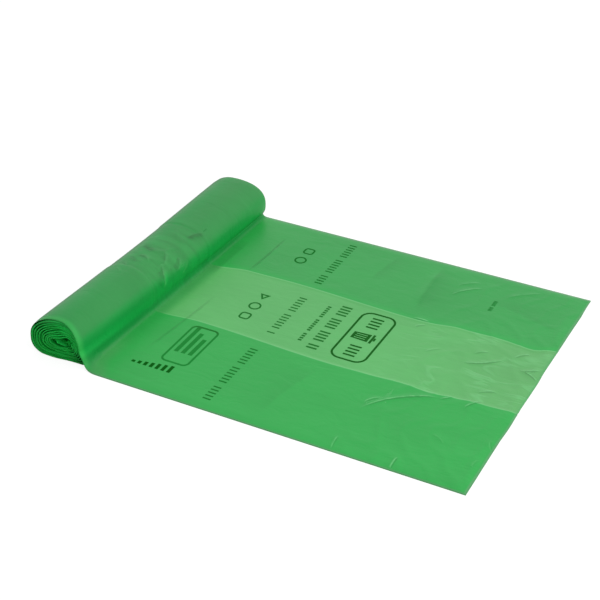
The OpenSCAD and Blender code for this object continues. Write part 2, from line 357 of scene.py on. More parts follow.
# Wrinkles pressed into the film: from x, y to x, y on the sheet, how far the line bows sideways, width and
# height of the soft lift, all in millimetres, and how sharp its crest is.
# A crest is painted lighter, and where sharp is below zero a painted shadow line takes its place.
sheetWrinkles = namedRows("a b toA toB bow wide high sharp", [
    (93, -101, 152, -52, 8, 3, 1.1, 1),
    (93, -91, 105, -76, 2, 2, 0.6, 0.8),
    (150, -55, 160, -46, 0, 2, 0.6, 0.9),
    (174, -57, 186, -39, 1, 1.8, 0.6, 0.9),
    (150, -164, 152, -146, 1, 2, 0.7, 0.9),
    (94, -162, 96, -143, 1, 1.8, 0.6, 0.6),
    (211, -132, 213, -118, 1, 2, 0.5, 0.3),
    (219, -103, 212, -90, 1, 1.6, 0.3, 0.4),
    (75, 55, 93, 55, 1, 1.8, 0.6, 1),
    (82, 42, 92, 50, 1, 1.6, 0.4, 0.9),
    (145, 8, 180, 30, -4, 2.6, 1, 1),
    (150, 26, 163, 35, 1, 1.8, 0.5, 0.8),
    (186, 36, 199, 49, 1, 2, 0.6, 0.9),
    (197, 21, 218, 11, 2, 2.2, 0.8, 0.9),
    (201, 19, 217, 28, 1, 1.8, 0.6, 0.8),
    (176, -30, 193, -22, 2, 2.2, 0.6, 0.9),
    (108, 8, 121, 20, 1, 1.8, 0.4, 0.6),
    (70, 76, 67, 148, 2, 6, 0.9, 0),
    (91, 109, 117, 136, 3, 3, 0.6, 0.7),
    (90, 128, 111, 144, 2, 2.6, 0.5, 0.5),
    (143, 130, 174, 154, 2, 3, 0.5, 0.4),
    (164, -104, 179, -113, 2, 2.8, 0.4, 0.2),
    (-108, 138, -110, 52, 1, 1.2, 0.2, -0.8),
    (-114, 6, -121, -112, 1, 1.2, 0.2, -0.6),
])

# The same on the roll, from angle, y to angle, y.
rollWrinkles = namedRows("a b toA toB bow wide high sharp", [
    (-4, -31, 40, -19, -2, 2, 1.2, 1.2),
    (36, -20, 60, 0, 2, 2.4, 0.7, 0.8),
    (12, -9, 34, 4, 3, 2.6, 1, 0.9),
    (18, -16, 32, -10, 1, 1.8, 0.6, -0.8),
    (78, -8, 118, 1, -3, 2.6, 1, -1.2),
    (64, -27, 106, -20, 3, 2.6, 0.8, 0.9),
    (92, -32, 122, -27, 2, 2.2, 0.5, -0.8),
    (102, -43, 120, -38, 1, 2, 0.4, 0.7),
    (98, -57, 120, -50, 1, 2, 0.4, 0.7),
    (45, 32, 30, 53, -2, 3, 0.9, -1),
    (0, -2, 16, 12, 1, 2.2, 0.6, 0.7),
    (104, 20, 140, 8, 2, 3, 0.6, 0.5),
])

# Broad folds that only show as painted shade on one side, fading over their width.
sheetFoldShades = namedRows("a b toA toB bow wide dark", [
    (66, 158, 72, 68, -2, 11, 0.17),
    (-140, 30, -140, 112, 0, 12, 0.14),
    (128, 118, 214, 92, 3, 14, 0.08),
    (20, -150, 36, -60, 4, 22, 0.07),
    (60, 40, 120, 34, 3, 10, 0.06),
    (17, 156, 8, 96, -1, 7, 0.11),
])

# On the roll, from angle, y to angle, y: soft streaks of painted shade, and of painted light where dark is
# negative.
rollStreakShades = namedRows("a b toA toB bow wide dark", [
    (30, -19, -4, -31, 0, 2.6, -0.30),
    (40, -25, 2, -38, 0, 2.6, 0.20),
    (124, 3, 76, -9, 0, 3.2, 0.24),
    (104, -19, 80, -22, 0, 2.2, 0.18),
    (119, -27, 88, -33, 0, 2.4, 0.20),
    (128, -36, 96, -43, 0, 2.4, 0.14),
    (44, 31, 30, 53, -1, 3, 0.22),
    (32, 6, 14, -11, 0, 2.4, 0.18),
    (20, 10, 2, 7, 0, 2.2, -0.14),
    (42, -2, 22, -18, 0, 2.6, -0.14),
    (82, -30, 64, -35, 0, 3, -0.10),
    (54, -8, 40, -13, 0, 2.2, 0.14),
])

# How all of those lines are drawn, in millimetres
lineRules = {
    "fade": 0.25,  # share of a line's length over which it fades at each end
    "steep": 0.55,  # width of a wrinkle's steeper side, as a share of the other's
    "crestWhole": 2.6,  # a crest is whole to this distance from its line
    "crestFades": 2.4,  # and gone this much further
    "farAway": 9.0,  # distance that is noted where no line is near
    "shadeHardEdge": 3.0,  # on the sheet a painted shade's hard side is this wide
    "lightBeyondShade": 0.35,  # and the painted light beyond it is as light as this
}

# Relief of the film beside its single wrinkles, in millimetres and degrees. A ripple is given by its
# wavelength, seed and squeeze.
relief = {
    "tableRows": 12,  # before the drape, over which the lift ends
    "loose": {"from": 82, "run": 40, "high": 0.5},  # sharp ridges from this X on
    "looseRipple": (46, 3, 1.3),
    "calm": {"x": 136, "y": 111, "wideX": 14, "wideY": 20},  # none of them about the batch marks
    "rollRows": (2, 8),  # rows before the roll where its lift starts, and how long it grows
    "backOf": {"angle": 70, "run": 12, "left": 0.05},  # past this angle this share of it is left
    "hidden": {"angle": 190, "run": 20},  # and past this one nothing
    "creased": {"high": 0.7, "middle": 4, "wide": 46},  # sharp ridges about the middle of the roll
    "creasedRipple": (34, 21, 0.8),
    "slackHigh": 0.25,  # soft swellings on the roll
    "slackRipple": (48, 22, 0.25),
    "mouth": {"rows": 3, "high": 0.35},  # the cut edge, where the plies don't quite meet
    "mouthRipple": (60, 8, 40),
}


# Distance aside of a line, and how much of it is there: it fades towards both ends.
def linePlace(a, b, line):
    da, db = line["toA"] - line["a"], line["toB"] - line["b"]
    length = math.hypot(da, db)
    t = ((a - line["a"]) * da + (b - line["b"]) * db) / length ** 2
    aside = ((b - line["b"]) * da - (a - line["a"]) * db) / length - line["bow"] * 4 * t * (1 - t)
    return aside, smooth(t / lineRules["fade"]) * smooth((1 - t) / lineRules["fade"])


# Soft lift of one wrinkle: a bell across its line, steeper on one side.
def wrinkleHeight(a, b, wrinkle):
    aside, fade = linePlace(a, b, wrinkle)
    wide = wrinkle["wide"] * np.where(aside > 0, 1, lineRules["steep"])
    return wrinkle["high"] * fade * np.exp(-(aside / wide) ** 2)


# Crests for the material: distance to the nearest line and its sharpness, none a few millimetres away
def crestLayer(a, b, wrinkles):
    nearest = np.full(np.broadcast(a, b).shape, lineRules["farAway"])
    sharpness = 0 * nearest
    for wrinkle in wrinkles:
        aside, fade = linePlace(a, b, wrinkle)
        closer = (np.abs(aside) < np.abs(nearest)) & (fade > 0)
        past = (np.abs(aside) - lineRules["crestWhole"]) / lineRules["crestFades"]
        nearest = np.where(closer, aside, nearest)
        sharpness = np.where(closer, wrinkle["sharp"] * fade * (1 - smooth(past)), sharpness)
    return nearest, sharpness


# Darkness of the broad painted shades: a bell across each line, or with a hard side, a little painted
# light beyond it
def paintedShadeLayer(a, b, paintedShades, hardSide):
    total = 0
    for paintedShade in paintedShades:
        aside, fade = linePlace(a, b, paintedShade)
        if hardSide:
            side = mix(-lineRules["lightBeyondShade"], 1, smooth(1 + aside / lineRules["shadeHardEdge"]))
            side = side * np.exp(-np.abs(aside) / paintedShade["wide"])
        else:
            side = np.exp(-(aside / paintedShade["wide"]) ** 2)
        total = total + paintedShade["dark"] * fade * side
    return total


# The leading bag's path at one end: flat from the free edge, up the drape as a cubic curve, round the roll.
# The drape is open where the film's edge is loose, and otherwise bends tightly against the table.
def leadingPath(end, tight):
    leaveX, leaveZ = winding(np.array(roll["leaveAngle"]), end)
    if tight:
        corner = roll["creaseCorner"]
        rise = leaveZ * roll["creaseRise"]
        knots = [(leaveX + roll["crease"], 0), (leaveX + corner, 0), (leaveX + corner / 2, rise)]
    else:
        flareX = rollX + roll["flare"][end]
        run, rise = roll["flareShape"]
        knots = [(flareX, 0), (mix(leaveX, flareX, run), 0), (leaveX + roll["bulge"][end], leaveZ * rise)]
    knots = np.array([*knots, (leaveX, leaveZ)])
    t = np.linspace(0, 1, bag["flatRows"], endpoint=False)[:, None]
    flat = mix(np.array([freeX, 0.0]), knots[0], t)
    u = np.linspace(0, 1, bag["drapeRows"], endpoint=False)[:, None]
    weights = [(1 - u) ** 3, 3 * u * (1 - u) ** 2, 3 * u ** 2 * (1 - u), u ** 3]
    drape = sum(w * k for w, k in zip(weights, knots))
    wrap = winding(np.linspace(roll["leaveAngle"], leadingAngle, bag["wrapRows"]), end)
    return np.concatenate([flat, drape, wrap])


# One loop of the tube, as (y, height, share of a wrinkle's lift), starting below at the near edge.
def tubeLoop():
    e = halfWidth
    t = bag["film"]
    inset = bag["edgeShift"]
    ramp = 2 * t + bag["stepRun"]
    lowEdge, lowLeaf, highLeaf, highEdge = bag["follows"]
    folds = (-e, foldNear, foldFar, e)
    below = [np.linspace(a, b, bag["belowColumns"]) for a, b in zip(folds, folds[1:])]
    below = [(place, 0, 0) for place in np.unique(np.concatenate(below))]

    # The two leaves of a gusset between its edge and its inner fold, from the lower edge to the upper one
    def leaves(edge, fold):
        side = math.copysign(1, edge)
        out = np.linspace(edge, fold, bag["hiddenColumns"])
        back = np.linspace(fold, edge - side * inset, bag["hiddenColumns"])
        return np.array([
            (edge + side * t, plyHeight[1] / 2 + t / 2, lowEdge),
            *((place, plyHeight[1] + t, lowLeaf) for place in out),
            *((place, plyHeight[2], highLeaf) for place in back),
            (edge - side * (inset - t), (plyHeight[2] + sideStack) / 2, highEdge),
        ])

    top, step = bag["topColumns"], bag["stepColumns"]
    stretches = (
        (e - inset, foldFar, top),
        (foldFar, foldFar - ramp, step),
        (foldFar - ramp, foldNear + ramp, top),
        (foldNear + ramp, foldNear, step),
    )
    across = [np.linspace(a, b, count, endpoint=False) for a, b, count in stretches]
    across = np.concatenate([*across, np.linspace(foldNear, -e + inset, top)])
    pastNear = smooth((across - foldNear - 2 * t) / bag["stepRun"])
    beforeFar = smooth((foldFar - 2 * t - across) / bag["stepRun"])
    height = mix(centreStack, sideStack, 1 - pastNear * beforeFar)
    above = np.stack([across, height, 0 * across + 1], -1)
    return np.concatenate([below, leaves(e, foldFar), above, leaves(-e, foldNear)[::-1]])


# The inner folds stray from their lines, and the film beside them stretches to follow.
def strayed(y, x):
    near = foldNear + eased(x, bag["nearStray"])
    far = foldFar + eased(x, bag["farStray"])
    between = mix(near, far, (y - foldNear) / (foldFar - foldNear))
    nearSide = mix(-halfWidth, near, (y + halfWidth) / bag["gussetNear"])
    farSide = mix(far, halfWidth, (y - foldFar) / bag["gussetFar"])
    return np.where(y < foldNear, nearSide, np.where(y > foldFar, farSide, between))


# How far along the film an angle round the roll lies, where along holds that length for each row
def alongAt(angle, along):
    angles = np.linspace(roll["leaveAngle"], leadingAngle, bag["wrapRows"])
    return np.interp(angle, angles, along[-bag["wrapRows"]:, 0])


# Lines drawn by angle, with their ends by length along the film instead
def onFilm(lines, along):
    return [{**line, "a": alongAt(line["a"], along), "toA": alongAt(line["toA"], along)} for line in lines]


# Lift of the upper plies on the table: single wrinkles, and loose ridges towards the free edge
def tableLift(x, y):
    loose, calm = relief["loose"], relief["calm"]
    raised = sum(wrinkleHeight(x, y, wrinkle) for wrinkle in sheetWrinkles)
    calmed = np.exp(-((x - calm["x"]) / calm["wideX"]) ** 2 - ((y - calm["y"]) / calm["wideY"]) ** 2)
    ridges = (1 - np.abs(ripple(x, y, *relief["looseRipple"]))).clip(0) ** 3
    return raised + smooth((x - loose["from"]) / loose["run"]) * loose["high"] * (1 - calmed) * ridges


# Lift of the whole stack on the roll: single wrinkles, soft swellings, and ridges about the middle
def rollLift(wrapRow, along, y):
    before, grow = relief["rollRows"]
    backOf, hidden, creased = relief["backOf"], relief["hidden"], relief["creased"]
    shown = smooth((wrapRow + before) / grow)
    shown = shown * mix(1, backOf["left"], smooth((along - alongAt(backOf["angle"], along)) / backOf["run"]))
    shown = shown * smooth((alongAt(hidden["angle"], along) - along) / hidden["run"])
    crinkled = sum(wrinkleHeight(along, y, wrinkle) for wrinkle in onFilm(rollWrinkles, along))
    slack = relief["slackHigh"] * (1 + ripple(along, y, *relief["slackRipple"])).clip(0)
    ridges = (1 - np.abs(ripple(along, y, *relief["creasedRipple"]))).clip(0) ** 2
    midRoll = np.exp(-((y - creased["middle"]) / creased["wide"]) ** 2)
    return shown * (crinkled + slack + creased["high"] * ridges * midRoll)


# Layers for the material: place on the film, crests, and broad painted shades
def filmLayers(ref, wrapRow, along, x, y):
    onRoll = wrapRow >= 0
    tableCrests = crestLayer(x, y, sheetWrinkles)
    rollCrests = crestLayer(along, y, onFilm(rollWrinkles, along))
    crests = [np.where(onRoll, r, t) for r, t in zip(rollCrests, tableCrests)]
    rollPaintedShade = paintedShadeLayer(along, y, onFilm(rollStreakShades, along), False)
    paintedShade = np.where(onRoll, rollPaintedShade, paintedShadeLayer(x, y, sheetFoldShades, True))
    return {
        "film": np.stack([along + 0 * ref, ref], -1),
        "crests": np.stack(crests, -1),
        "paintedShades": np.stack([paintedShade, 0 * paintedShade], -1),
    }


def makeLeadingBag():
    loop = tubeLoop()
    paths = [leadingPath(end, tight) for tight in (False, True) for end in (0, 1)]
    steps = [np.linalg.norm(np.diff(path, axis=0, prepend=path[:1]), axis=1) for path in paths[2:]]
    along = sum(np.cumsum(step) for step in steps)[:, None] / 2
    rows = len(along)
    row = np.arange(rows)[:, None]
    wrapRow = row - bag["flatRows"] - bag["drapeRows"]
    ref, height, follows = (loop[None, :, k] + 0 * row for k in range(3))
    x = freeX - along

    # Across, the film is a little narrower on the roll, where its near edge wanders in further
    onSheet = strayed(ref, x)
    share = onSheet / bag["width"] + 0.5
    angle = mix(roll["leaveAngle"], leadingAngle, np.maximum(0, wrapRow / (bag["wrapRows"] - 1)))
    gathered = mix(*roll["ends"], share) + (1 - share) * eased(angle, roll["skew"])
    y = mix(onSheet, gathered, smooth((row - bag["flatRows"]) / bag["drapeRows"]))

    # Up from the path, the stack is pressed at its edges and lifted by its wrinkles
    onTable = smooth((bag["flatRows"] - row) / relief["tableRows"])
    toEdge = np.minimum(halfWidth - np.abs(ref), along)
    press = mix(bag["pressed"], 1, smooth(toEdge / bag["pressedRun"]))
    lift = follows * onTable * tableLift(x, y) * smooth(toEdge / bag["liftRun"])
    up = height * press + lift + rollLift(wrapRow, along, y)

    # The section is blended from the two ends, and from the loose drape to the tight one
    sides = [over(path, up) for path in paths]
    far = np.clip(farShare(share), 0, 1)[..., None]
    tight = smooth((ref + halfWidth) / roll["looseEdge"])[..., None]
    section = mix(mix(sides[0], sides[1], far), mix(sides[2], sides[3], far), tight)
    mouth = relief["mouth"]
    uneven = smooth(1 - row / mouth["rows"]) * mouth["high"] * ripple(y, height, *relief["mouthRipple"])
    points = np.stack([section[..., 0] + uneven, y, waisted(y, section[..., 1])], -1)

    uvs = filmLayers(ref, wrapRow, along, x, y)
    piece = meshObject("leading_bag_film", points, gridFaces(rows, len(loop)), uvs)
    solid = piece.modifiers.new("film thickness", "SOLIDIFY")
    solid.thickness = bag["shell"] * mm
    solid.offset = -1
    print(f"leading bag: {rows} rows of {len(loop)}, {along[-1, 0]:.0f} mm long")
    return piece, along


# Look of the leading bag's film. Places and runs are in millimetres, and a pair is where something starts
# and where it is full or gone. What is shown, left or lost is a share.
sheetLook = {
    "gusset": (0.0225, 0.40, 0.07),
    # the far gusset is a little greyer: painted sheen
    "farGusset": (0.0295, 0.368, 0.073),
    "farGussetFrom": (-0.3, 12),  # from the far fold
    "strip": (0.105, 0.465, 0.128),
    "stripInside": 0.3,  # its colour keeps this far inside its two folds
    "stripEnd": (0.11, 0.425, 0.125),
    "stripEndTo": (10, 110),  # from the free edge
    # painted highlight colour, laid on the strip's fold lines, on the wrinkle crests and on the crumple
    # ridges
    "fold": (0.20, 0.66, 0.26),
    "foldInside": 0.8,
    "foldLine": (0.2, 1.3),
    "foldShows": 0.35,
    # the film that bends up to the roll, and what follows from the line where it leaves it
    # the bend is darker than the table: painted shade of the crease, where the strip's lighter colour also
    # ends
    "bend": (0.055, 0.37, 0.09),
    "bendGusset": (0.022, 0.375, 0.066),
    "bendFrom": (-26, -13),
    "bendNearEnd": (36, 80),  # from the near edge, where the gusset's bend is as pale
    "rollFrom": (-11, -5),
    "footFrom": (-12, -8),  # a painted shadow line at the roll's foot
    "footTo": (-3, 2),
    "footShows": 0.12,
    "frontFrom": (-3, 3),  # and a painted lighter line above it, on the roll's lower front
    "frontTo": (5, 16),
    "frontShows": 0.18,
    # on the roll it is deep, with a painted sheen between two angles
    "rolled": (0.002, 0.30, 0.047),
    "paintedSheen": (0.018, 0.275, 0.053),
    "sheenAngles": (20.5, 85),
    "sheenFrom": (-3, 5),
    "sheenTo": (-10, 10),
    "sheenLower": (-70, 0),  # across, it starts this much lower towards the far end
    "sheenDrop": 5.5,
    "sheenRise": 2,
    # a lighter rim in the gusset's colour along the roll's near edge: partly the film's overhang past the
    # turns, partly a painted highlight
    "nearRim": (2, 9),  # from the near edge
    "grazingShade": (0.68, 1.0),  # painted shade where it turns from the eye, 0 for facing it and 1 for edge-on
    "grazingShadeShows": 0.55,
    "middle": 4,  # painted streaks of shade and light about the middle of the roll
    "middleTo": (40, 75),
    "streak": {"stretch": (26, 110, 1), "detail": 3, "roughness": 0.6, "distortion": 0.8,
               "contrast": (0.3, 0.7)},
    "streakShows": 0.16,
    # crests, painted lighter, climb quickly on one side and fall slowly on the other,
    # with a painted shadow in the hollow in front of them
    "crestClimbs": (-0.7, 0),
    "crestFalls": (0, 1.8),
    "hollowFrom": (-2.2, -0.9),
    "hollowTo": (-0.9, 0),
    "frayed": {"stretch": (160, 160, 1), "contrast": (0.3, 0.6)},
    "frayedLeaves": 0.4,
    "crestShows": 0.6,
    "crestLost": 0.45,  # this much less on the roll
    "drawnShows": 0.3,
    "drawnLost": 0.5,
    "crumpledTo": (60, 190),  # fine crumples in the strip, from the free edge
    "ridge": {"stretch": (15, 46, 1), "detail": 3, "roughness": 0.55, "distortion": 0.9},
    "ridgeWide": 0.07,
    "patchy": {"stretch": (30, 30, 1), "detail": 1, "contrast": (0.42, 0.62)},
    "ridgeShows": 0.24,
    "cut": (0.08, 0.335, 0.115),  # the cut and folded edges are greyer
    "freeCut": (1.0, 2.6),
    "nearCut": (1.2, 2.8),
    "farCut": (-4.6, -2.2),
    "cutLost": 0.4,  # this much less in the strip
    "plain": 0.86,
    "cloudy": {"stretch": (9, 16, 1), "detail": 3},
    "cloudyShows": 0.2,
    "streaky": {"stretch": (14, 260, 1)},
    "streakyShows": 0.08,
    "fine": {"scale": 420, "detail": 3, "roughness": 0.6},
    "dull": {"scale": 60},
    "roughness": 0.32,
    "rougher": 0.12,  # with the noise, and once more on the roll
    "ior": 1.35,
    # heights in metres
    "fineHigh": 0.00006,
    "streakyHigh": 0.00012,
    "crestHigh": 0.0006,
    "crestLower": 0.0003,
    "ridgeHigh": 0.0004,
    "hazeFrom": 6,  # past the lines where the film leaves and where its painted sheen starts
    "hazeLeast": 0.1,
    "hazy": {"stretch": (22, 9, 1)},
    "hazeVaries": 0.3,
    "hazeNearEnd": (0, 70),
    "hazeAtEnd": 0.5,
}


# Crests, twice as wide on the roll and painted lighter, and painted shadow lines in front of them, or in
# their place where sharp is below zero
def sheetCrests(graph, uv, onRoll):
    look = sheetLook
    aside, sharp = [part / mm for part in graph.parts(graph.layer("crests"), 2)]
    narrowed = aside / (1 + onRoll)
    crest = narrowed.between(*look["crestClimbs"]) * (1 - narrowed.between(*look["crestFalls"])) * sharp
    hollowShadow = aside.between(*look["hollowFrom"]) * (1 - aside.between(*look["hollowTo"])) * abs(sharp)
    frayed = graph.noise(uv, **look["frayed"])
    crest = crest * (look["frayedLeaves"] + (1 - look["frayedLeaves"]) * frayed)
    shadowLines = hollowShadow * look["drawnShows"] + look["drawnShows"] * abs(crest) * (sharp < 0)
    return crest, shadowLines


def makeSheetMaterial(lengths):
    look = sheetLook
    leave = alongAt(roll["leaveAngle"], lengths)
    sheenStart, sheenEnd = (alongAt(angle, lengths) for angle in look["sheenAngles"])
    material, graph = newMaterial("bag_film")
    uv = graph.layer("film")
    place = graph.place()
    along, across = graph.parts(uv, 2)

    # Zones: the roll, the bend before it, the strip between the gussets, and its two folds
    onRoll = along.band(look["rollFrom"], leave)
    inBend = along.band(look["bendFrom"], leave)
    inside = look["stripInside"]
    inStrip = (across > (foldNear + inside) * mm) * (across < (foldFar - inside) * mm) * (1 - onRoll)
    nearLine = abs(across - (foldNear + look["foldInside"]) * mm)
    farLine = abs(across - (foldFar - look["foldInside"]) * mm)
    foldHighlight = (1 - nearLine.band(look["foldLine"])) + (1 - farLine.band(look["foldLine"]))
    crest, shadowLines = sheetCrests(graph, uv, onRoll)

    # Fine crumples: ridges where a noise crosses its middle value
    crumpled = inStrip * (1 - along.band(look["crumpledTo"]))
    crossing = abs(graph.noise(uv, **look["ridge"]) - 0.5)
    patchy = graph.noise(uv, **look["patchy"])
    ridges = (1 - crossing.between(0.0, look["ridgeWide"])) * crumpled * patchy

    # Colours on the table and in the bend
    # The far gusset a little greyer: painted sheen
    colour = graph.blend(across.band(look["farGussetFrom"], foldFar), look["gusset"], look["farGusset"])
    stripTone = graph.blend(along.band(look["stripEndTo"]), look["stripEnd"], look["strip"])
    colour = graph.blend(inStrip, colour, stripTone)
    # The bend, darker: painted shade of the crease, where the strip's lighter colour also ends
    nearEnd = 1 - across.band(look["bendNearEnd"], -halfWidth)
    bendTone = graph.blend(inStrip.orMore(nearEnd), look["bendGusset"], look["bend"])
    colour = graph.blend(inBend, colour, bendTone)

    # Colours on the roll: deep, with a painted sheen between two angles
    lowered = along + across.band(look["sheenLower"]) * look["sheenDrop"] * mm - look["sheenRise"] * mm
    paintedSheen = lowered.band(look["sheenFrom"], sheenStart) * (1 - along.band(look["sheenTo"], sheenEnd))
    colour = graph.blend(onRoll, colour, graph.blend(paintedSheen, look["rolled"], look["paintedSheen"]))
    # Painted highlight along the strip's fold lines
    colour = graph.blend(foldHighlight * look["foldShows"] * (1 - inBend), colour, look["fold"])
    # Along the roll's near edge, the gusset's colour: partly the overhang past the turns, partly a painted
    # highlight
    nearRim = 1 - across.band(look["nearRim"], -halfWidth)
    colour = graph.blend(nearRim * onRoll, colour, look["gusset"])
    # Painted highlight on the wrinkle crests
    colour = graph.blend(crest * (look["crestShows"] - look["crestLost"] * onRoll), colour, look["fold"])
    # Painted highlight on the fine crumple ridges
    colour = graph.blend(ridges * look["ridgeShows"], colour, look["fold"])

    # Cut and folded edges
    freeCut = 1 - along.band(look["freeCut"])
    nearCut = 1 - across.band(look["nearCut"], -halfWidth)
    cut = freeCut.orMore(nearCut).orMore(across.band(look["farCut"], halfWidth))
    colour = graph.blend(cut * (1 - onRoll) * (1 - look["cutLost"] * inStrip), colour, look["cut"])

    # Painted light and shade, on a random cloudy and streaky tone
    # A painted lighter line on the roll's lower front, and a painted shadow line at its foot
    front = along.band(look["frontFrom"], leave) * (1 - along.band(look["frontTo"], leave))
    foot = along.band(look["footFrom"], leave) * (1 - along.band(look["footTo"], leave))
    # Painted shade on the roll where it turns from the eye
    facing = graph.node("ShaderNodeLayerWeight", {}, {"Blend": 0.5}, "Facing")
    grazingShade = facing.between(*look["grazingShade"]) * onRoll
    # Painted streaks of shade and light about the middle of the roll
    middle = (1 - abs(across - look["middle"] * mm).band(look["middleTo"])) * onRoll
    streak = middle * (graph.noise(uv, **look["streak"]) - 0.5) * look["streakShows"]
    # Painted shade of the broad folds and the roll's streaks, and painted light where it is negative
    paintedShade = graph.parts(graph.layer("paintedShades"), 1)[0] / mm
    lines = grazingShade * look["grazingShadeShows"] + streak + paintedShade + shadowLines * (1 - look["drawnLost"] * onRoll)
    cloudy = graph.noise(uv, **look["cloudy"])
    streaky = graph.noise(uv, **look["streaky"])
    light = look["plain"] + cloudy * look["cloudyShows"] + streaky * look["streakyShows"]
    colour = graph.shade(colour, light + front * look["frontShows"] - foot * look["footShows"] - lines)

    # Surface
    waves = graph.noise(place, **filmRules["waves"])
    height = waves * filmRules["wavesHigh"] + graph.noise(place, **look["fine"]) * look["fineHigh"]
    height = height + streaky * look["streakyHigh"]
    height = height + crest * (look["crestHigh"] - look["crestLower"] * onRoll) + ridges * look["ridgeHigh"]
    normal = graph.bump(height, filmRules["bump"])
    dull = graph.noise(place, **look["dull"])
    roughness = look["roughness"] + look["rougher"] * dull + look["rougher"] * onRoll
    haze = along.between((leave + look["hazeFrom"]) * mm, (sheenStart + look["hazeFrom"]) * mm) * (1 - grazingShade)
    haze = haze * (look["hazeLeast"] + look["hazeVaries"] * graph.noise(uv, **look["hazy"]))
    nearHaze = across.band(look["hazeNearEnd"], -halfWidth)
    haze = haze * (look["hazeAtEnd"] + (1 - look["hazeAtEnd"]) * nearHaze)
    finishFilm(graph, colour, roughness, normal, look["ior"], haze)
    return material


# The bags still wound up: one spiral strip with round edges, telescoped and crumpled a little at its ends.
wound = {
    "steps": 1300,
    "tailSteps": 120,
    "tailTurned": 6,  # degrees that each counts for in the patterns
    "torn": 1,  # angle left open at the perforation
    "thick": 0.82,  # share of the room between two turns
    "tailThick": 0.4,
    "tapers": 60,  # degrees on either side of the core angle, over which it thins
    "roundEdge": 0.3,
    "fromEnd": (0, 0.7, 2, 5, 12, 40, 80, 120, 150),  # columns near an end
    "endRun": 14,  # all that follows is within this distance of an end
    "inset": (3.7, 2),  # how far the outer turns lie inside the roll's two ends
    "insetVaries": 1.2,  # and how much more, at most, at the near one, and at which angle
    "insetMost": 50,
    "coreSunk": 1.6,  # how much deeper the core lies than the outer turns
    "telescope": 0.8,  # how far single turns stand out of the ends at the core
    "outerTelescope": 0.4,  # and at the outer turns, as a share of that
    "telescopeRipple": (0.68, 11, 5),  # by turns, the others by degrees
    "jagged": 0.5,
    "jaggedRipple": (55, 12, 300),
    "swell": 0.3,
    "swellRipple": (70, 13, 400),
    "thickVaries": 0.2,
    "thickRipple": (120, 14, 90),
    # the film's inner end, crumpled in the slit: shares across and up the room that is left there
    "tail": ((0.93, 0.25), (0.75, 0.12), (0.5, 0.22), (0.3, 0.38), (0.14, 0.62), (0.26, 0.78), (0.45, 0.62),
             (0.62, 0.42), (0.74, 0.6), (0.86, 0.8), (0.95, 0.62), (0.88, 0.4), (0.8, 0.52)),
}


# A smooth curve through points: Catmull-Rom, each stretch a cubic of its four nearest points
def curveThrough(points, steps):
    padded = np.concatenate([[2 * points[0] - points[1]], points, [2 * points[-1] - points[-2]]])
    at = np.linspace(0, len(points) - 1, steps, endpoint=False)
    k = at.astype(int)
    t = (at - k)[:, None]
    a, b, c, d = (padded[k + i] for i in range(4))
    return b + 0.5 * t * (c - a + t * (2 * a - 5 * b + 4 * c - d + t * (3 * (b - c) + d - a)))


# The strip's path at one end: the turns, then the crumpled tail in what the last turn leaves free
def woundPath(phi, end):
    turns = winding(phi, end)
    lastTurn = turns[phi > phi[-1] - 360]
    tail = mix(lastTurn.min(axis=0), lastTurn.max(axis=0), np.array(wound["tail"]))
    tail = curveThrough(np.concatenate([turns[-1:], tail]), wound["tailSteps"])
    return np.concatenate([turns, tail[1:]])


# The strip's section, as (place along the roll, 0 on its inner face or 1 on its outer one)
def stripLoop():
    half = rollLength / 2
    edge = half + wound["roundEdge"]
    fromEnd = np.array(wound["fromEnd"])
    columns = np.concatenate([fromEnd, rollLength - fromEnd[::-1]]) - half
    outer = np.stack([columns, 0 * columns + 1], -1)
    inner = np.stack([columns[::-1], 0 * columns], -1)
    return np.concatenate([[[-edge, 0.5]], outer, [[edge, 0.5]], inner])[::-1]


# The strip's section carried along its path, with each point's height taken square to the path
def makeWoundBags():
    phi = np.linspace(leadingAngle + wound["torn"], coreAngle, wound["steps"])
    paths = [woundPath(phi, end) for end in (0, 1)]
    tail = phi[-1] + np.arange(1, wound["tailSteps"]) * wound["tailTurned"]
    phi = np.concatenate([phi, tail])[:, None]
    gone = (phi - phi[0]) / (phi[-1] - phi[0])
    loop = stripLoop()
    ref, up = (loop[None, :, k] + 0 * gone for k in range(2))
    side = np.sign(ref)
    nearness = smooth((np.abs(ref) - rollLength / 2 + wound["endRun"]) / wound["endRun"])

    # Along the roll, single turns stand out of the ends or lie inside them
    stand = wound["telescope"] * mix(wound["outerTelescope"], 1, gone)
    stand = stand * ripple(phi / 360, side, *wound["telescopeRipple"])
    stand = stand + wound["jagged"] * gone * ripple(phi, side, *wound["jaggedRipple"])
    nearInset = wound["inset"][0] + wound["insetVaries"] * np.cos(np.radians(phi - wound["insetMost"]))
    inset = np.where(side < 0, nearInset, wound["inset"][1])
    y = ref + sum(roll["ends"]) / 2 - side * nearness * (wound["coreSunk"] * gone ** 2 - stand + inset)

    # Up from the path, each turn has its thickness, uneven at the ends
    tapered = smooth((phi - coreAngle + wound["tapers"]) / (2 * wound["tapers"]))
    thick = pitch * mix(wound["thick"], wound["tailThick"], tapered)
    uneven = 1 + wound["thickVaries"] * gone * ripple(phi, side, *wound["thickRipple"]) * nearness
    swell = nearness * wound["swell"] * gone * ripple(phi, side, *wound["swellRipple"])
    high = up * thick * uneven + swell
    far = farShare(np.clip((y - roll["ends"][0]) / rollLength, 0, 1))[..., None]
    section = mix(*(over(path, high) for path in paths), far)
    points = np.stack([section[..., 0], y, waisted(y, section[..., 1])], -1)

    rows, columns = up.shape
    caps = [list(range(columns)), [(rows - 1) * columns + k for k in range(columns)][::-1]]
    uvs = {"film": np.stack([phi + 0 * ref, ref], -1), "ply": np.stack([up, gone + 0 * ref], -1)}
    piece = meshObject("wound_turns", points, gridFaces(rows, columns) + caps, uvs)
    print(f"wound bags: {rows} steps of {columns}")
    return piece


